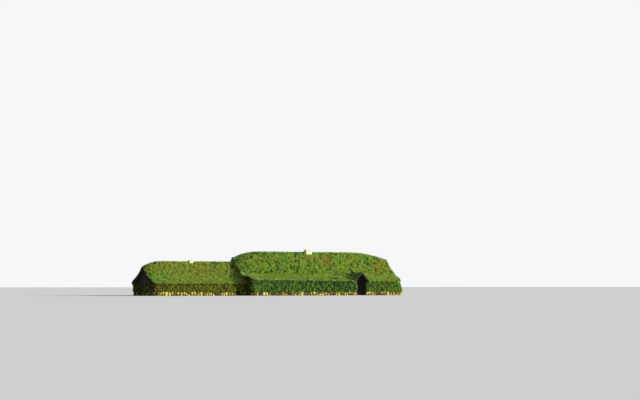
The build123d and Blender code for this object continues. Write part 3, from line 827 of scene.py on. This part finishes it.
# Roof grass: combed down the slopes of hall and living room, parted round the smoke vents.
# Over the rounded eaves it hangs down in a fringe of the wall's grass, made darker still where it
# faces up: painted shade.
roof_facing = 0.3
eave_facing = 0.2
eave_nose = 0.30
vent_margin = 0.05
roof_sides = (("front", (0.20, -0.70, -0.60), 5), ("rear", (0.20, 0.70, -0.60), 4))


def around(name, margin):
    """A box round a node, as its middle and half size, wider by a margin on every side."""
    low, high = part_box(name)
    return tuple((low + high) / 2), tuple((high - low) / 2 + Vector((margin, margin, margin)))


for block, brow, fringe, seed in (
    ("hall", hall_side, "turf_wall", 9),
    ("room", room_side, "turf_wall_dry", 17),
):
    for side, comb, step in roof_sides:
        grow_grass(
            name=f"{block}_roof_grass_{side}",
            nodes=[f"{block}_roof_turf_{side}"],
            keep=lambda centre, normal: normal.z > roof_facing
            and abs(centre.y) < brow - eave_nose,
            slot="turf_roof",
            per_metre=105.0,
            gap=0.045,
            length=0.25,
            comb=comb,
            upright=0.60,
            bare=[around(f"{block}_vent_curb", vent_margin)],
            seed=seed + step,
        )
    grow_grass(
        name=f"{block}_eave_grass",
        nodes=[f"{block}_roof_turf_front", f"{block}_roof_turf_rear"],
        keep=lambda centre, normal: normal.z > eave_facing
        and abs(centre.y) >= brow - eave_nose,
        slot=fringe,
        per_metre=150.0,
        gap=0.05,
        length=0.24,
        comb=(0.0, 0.0, -1.2),
        upright=0.35,
        bare=[],
        seed=seed + 20,
    )


# Verge grass: on the cut left end of the hall's roof turf, which stands higher than the
# living room's roof, long grass has rooted in the edge and stands straight out.
sideways = 0.5
verge_foot = 2.2
verge_reach = 1.0

grow_grass(
    name="hall_verge_grass",
    nodes=["hall_roof_turf_front", "hall_roof_turf_rear"],
    keep=lambda centre, normal: normal.x < -sideways
    and centre.z > verge_foot
    and centre.x < hall_left + verge_reach,
    slot="turf_wall",
    per_metre=150.0,
    gap=0.04,
    length=0.34,
    comb=(0.0, 0.0, 0.10),
    upright=1.2,
    bare=[],
    seed=57,
)


# Porch grass: short, on the thin turf of the porch's own roof, lying forwards; and a fringe of
# the roofs' lighter grass on the end of the wall's turf along the left of the doorway: painted
# light, a lit strip by the dark doorway.
turf_foot = hall_foot[1].z
doorway_depth = 0.5
doorway_slack = 0.15


def stone_course(margin):
    """The box that holds the stones, up to the foot of the turf and a margin more."""
    return (0.0, 0.0, turf_foot / 2), (cad_high.x, cad_high.y, turf_foot / 2 + margin)


grow_grass(
    name="porch_roof_grass",
    nodes=["porch_roof_turf"],
    keep=lambda centre, normal: normal.z > roof_facing,
    slot="turf_roof",
    per_metre=90.0,
    gap=0.05,
    length=0.12,
    comb=(0.0, -0.3, -0.3),
    upright=0.8,
    bare=[],
    seed=51,
)
# Painted light: the roofs' lighter grass on the doorway's left edge stands for a lit strip.
grow_grass(
    name="doorway_edge_grass",
    nodes=["hall_front_wall"],
    keep=lambda centre, normal: normal.x > sideways
    and centre.y < -hall_side + doorway_depth
    and abs(centre.x - door_left) < doorway_slack,
    slot="turf_roof",
    per_metre=110.0,
    gap=0.05,
    length=0.18,
    comb=(0.0, -0.5, -0.2),
    upright=0.9,
    bare=[stone_course(0.0)],
    seed=59,
)


# Wall grass: short grass that hangs down the outer faces of the turf walls, rooted in the
# joints of the sods. It stops above the stones, and none grows in the doorway or inside.
side_depth = 0.75
end_depth = 0.9
outward_facing = 0.2
wall_slope = 0.5
junction_slack = 0.1
post_slack = 0.02
stone_margin = 0.04


def hall_wall_shows(centre, normal):
    """Outer faces of the hall's walls, not those in the doorway or inside."""
    outside = abs(centre.y) > hall_side - side_depth or centre.x > hall_right - end_depth
    end = centre.x < hall_left + end_depth and abs(centre.y) > room_side - junction_slack
    outward = (
        normal.y * centre.y > outward_facing
        or normal.x > sideways
        or (end and normal.x < -sideways)
    )
    steep = abs(normal.z) <= wall_slope
    in_doorway = door_left - post_slack < centre.x < door_right + post_slack
    return (outside or end) and outward and steep and not in_doorway


def room_wall_shows(centre, normal):
    """Outer faces of the living room's walls."""
    outside = abs(centre.y) > room_side - side_depth or centre.x < room_left + end_depth
    outward = normal.y * centre.y > outward_facing or normal.x < -sideways
    steep = abs(normal.z) <= wall_slope
    return outside and outward and steep


for block, shows, slot, seed in (
    ("hall", hall_wall_shows, "turf_wall", 31),
    ("room", room_wall_shows, "turf_wall_dry", 41),
):
    grow_grass(
        name=f"{block}_wall_grass",
        nodes=[f"{block}_front_wall", f"{block}_rear_wall", f"{block}_end_wall"],
        keep=shows,
        slot=slot,
        per_metre=150.0,
        gap=0.04,
        length=0.19,
        comb=(0.0, 0.0, -0.7),
        upright=0.7,
        bare=[stone_course(stone_margin)],
        seed=seed,
    )
for tuft in list(tufts.objects):
    bpy.data.objects.remove(tuft)
bpy.data.collections.remove(tufts)


# Timber frame inside: hewn softwood posts, beams, purlins, plates, rafters and roof boards,
# pegged and nailed together where they cross, and browned by smoke.
smoked = [(0.3, (0.09, 0.055, 0.030, 1.0)), (0.7, (0.27, 0.175, 0.10, 1.0))]
fibre_size, fibre_share = 0.02, 0.65
stain_size, stain_share = 0.5, 0.35
grain_stretch = 30.0
along_x = (grain_stretch, 1.0, 1.0)
along_y = (1.0, grain_stretch, 1.0)
along_z = (1.0, 1.0, grain_stretch)
frame_grain = {
    "hall_posts": "z",
    "hall_tie_beams": "y",
    "hall_purlins": "x",
    "hall_wall_plates": "x",
    "hall_rafters_front": "y",
    "hall_rafters_rear": "y",
    "hall_roof_boards_front": "x",
    "hall_roof_boards_rear": "x",
    "room_posts": "z",
    "room_collar_beams": "y",
    "room_wall_plates": "x",
    "room_rafters_front": "y",
    "room_rafters_rear": "y",
    "room_roof_boards_front": "x",
    "room_roof_boards_rear": "x",
    "cross_wall_lintel": "y",
}


def timber(name, stops, grain, roughness, depth=0.004):
    """Wood whose fibres run along the axis that grain stretches, board by board in tone."""
    material, tree, output = blank_material(name)
    fibre = mottle(tree, fibre_size, grain, detail=8.0)
    stain = mottle(tree, stain_size)
    own_tone = node(tree, "ShaderNodeAttribute", attribute_name="tone").outputs["Fac"]
    total = 0.0
    for value, share in ((fibre, fibre_share), (stain, stain_share), (own_tone, 1.0)):
        total = node(
            tree, "ShaderNodeMath", [(0, value), (1, share), (2, total)], operation="MULTIPLY_ADD"
        ).outputs[0]
    finish_surface(tree, output, ramp(tree, total, stops), roughness, fibre, depth)
    return material


smoked_timber = {
    axis: timber(f"smoked_timber_along_{axis}", smoked, grain, roughness=0.8)
    for axis, grain in (("x", along_x), ("y", along_y), ("z", along_z))
}
for name, axis in frame_grain.items():
    dress(smoked_timber[axis], name)


# Gables: upright softwood boards, tarred nearly black against the weather, nailed side by
# side to the frame under the turf verge, with narrow open joints and worn edges.
tarred = [(0.3, (0.008, 0.007, 0.006, 1.0)), (0.7, (0.030, 0.026, 0.022, 1.0))]
board_tones = (-0.12, 0.12)
worn_edge = 0.004


def separate_boards(name, source, across, width, gap, material, seed):
    """A sheet's boards, cut from it along an axis with open joints, in place of the sheet."""
    chance = random.Random(seed)
    sheet = bmesh.new()
    sheet.from_mesh(frame["nodes"][source].data)
    bmesh.ops.remove_doubles(sheet, verts=sheet.verts, dist=fine_weld)
    axis = Vector([1.0 if i == across else 0.0 for i in range(3)])
    low, high = (corner[across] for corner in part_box(source))
    count = max(1, round((high - low) / width))
    pitch = (high - low) / count
    form = bmesh.new()
    for i in range(count):
        board = sheet.copy()
        first = low + i * pitch + gap / 2
        last = low + (i + 1) * pitch - gap / 2
        for place, side in ((first, -1), (last, 1)):
            made = bmesh.ops.bisect_plane(
                board,
                geom=[*board.verts, *board.edges, *board.faces],
                plane_co=axis * place,
                plane_no=axis * side,
                clear_outer=True,
            )
            edges = [one for one in made["geom_cut"] if isinstance(one, bmesh.types.BMEdge)]
            bmesh.ops.triangle_fill(board, use_beauty=True, edges=edges)
        bmesh.ops.recalc_face_normals(board, faces=board.faces)
        tones = board.verts.layers.float.new("tone")
        shade = chance.uniform(*board_tones)
        for vert in board.verts:
            vert[tones] = shade
        mesh = bpy.data.meshes.new("board")
        board.to_mesh(mesh)
        board.free()
        form.from_mesh(mesh)
        bpy.data.meshes.remove(mesh)
    sheet.free()
    boards = make_object(name, form, material)
    edge = boards.modifiers.new("worn_edges", "BEVEL")
    edge.width = worn_edge
    edge.segments = 2
    edge.limit_method = "ANGLE"
    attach(boards, "house")
    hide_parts(source)


tarred_upright = timber("tarred_boards", tarred, along_z, roughness=0.7)
for name, seed in (("hall_gable", 61), ("room_gable", 62)):
    separate_boards(
        name=f"{name}_planks",
        source=f"{name}_boards",
        across=1,
        width=0.19,
        gap=0.008,
        material=tarred_upright,
        seed=seed,
    )


# Smoke vents: small boxes of softwood boards, bleached nearly white by the sun. They are
# nailed together round a hole in the roof boards close to each ridge, under a flat lid.
bleached = [(0.3, (0.80, 0.78, 0.56, 1.0)), (0.7, (0.92, 0.91, 0.70, 1.0))]

bleached_boards = timber("bleached_boards", bleached, along_x, roughness=0.7, depth=0.002)
for block, seed in (("hall", 71), ("room", 72)):
    separate_boards(
        name=f"{block}_vent_planks",
        source=f"{block}_vent_curb",
        across=2,
        width=0.17,
        gap=0.006,
        material=bleached_boards,
        seed=seed,
    )
    dress(bleached_boards, f"{block}_vent_lid")


# Porch: weathered grey softwood posts, lintel, sill and boards, nailed together round the
# doorway, with barge boards along its gable made darker as painted shade, and tarred
# linings through the wall.
weathered = [(0.3, (0.034, 0.029, 0.026, 1.0)), (0.7, (0.120, 0.104, 0.096, 1.0))]
# Painted shade: the barge boards are darker than the other porch boards.
barge_painted_shade = [(0.3, (0.020, 0.017, 0.015, 1.0)), (0.7, (0.065, 0.055, 0.050, 1.0))]

weathered_upright = timber("weathered_upright", weathered, along_z, roughness=0.85)
weathered_across = timber("weathered_across", weathered, along_x, roughness=0.85)
dress(weathered_upright, "porch_posts")
dress(weathered_across, "porch_lintel", "porch_sill", "porch_ceiling", "porch_roof_boards")
dress(timber("barge_boards_painted_shade", barge_painted_shade, along_z, roughness=0.8), "porch_barge_boards")
dress(tarred_upright, "porch_linings")
separate_boards(
    name="porch_gable_planks",
    source="porch_gable_boards",
    across=0,
    width=0.16,
    gap=0.006,
    material=weathered_upright,
    seed=81,
)


# Door: a leaf of upright planks nailed to two ledges, all tarred long ago, with a wooden
# pull. Wrought-iron straps hang it on pintles driven into the passage lining.
worn_tar = [(0.3, (0.022, 0.020, 0.018, 1.0)), (0.7, (0.062, 0.055, 0.050, 1.0))]
iron_colours = [(0.35, (0.030, 0.028, 0.027, 1.0)), (0.7, (0.095, 0.055, 0.032, 1.0))]
iron_metallic = 0.6

dress(timber("tarred_door", worn_tar, along_z, roughness=0.7), "door_boards")
dress(timber("tarred_ledges", worn_tar, along_x, roughness=0.7), "door_ledges")
dress(weathered_upright, "door_pull")
wrought_iron, tree, output = blank_material("wrought_iron")
shader = finish_surface(
    tree,
    output,
    colour=ramp(tree, mottle(tree, size=0.03), iron_colours),
    roughness=0.55,
    relief=mottle(tree, size=0.01),
    depth=0.001,
)
shader.inputs["Metallic"].default_value = iron_metallic
dress(wrought_iron, "door_straps", "door_pintles")
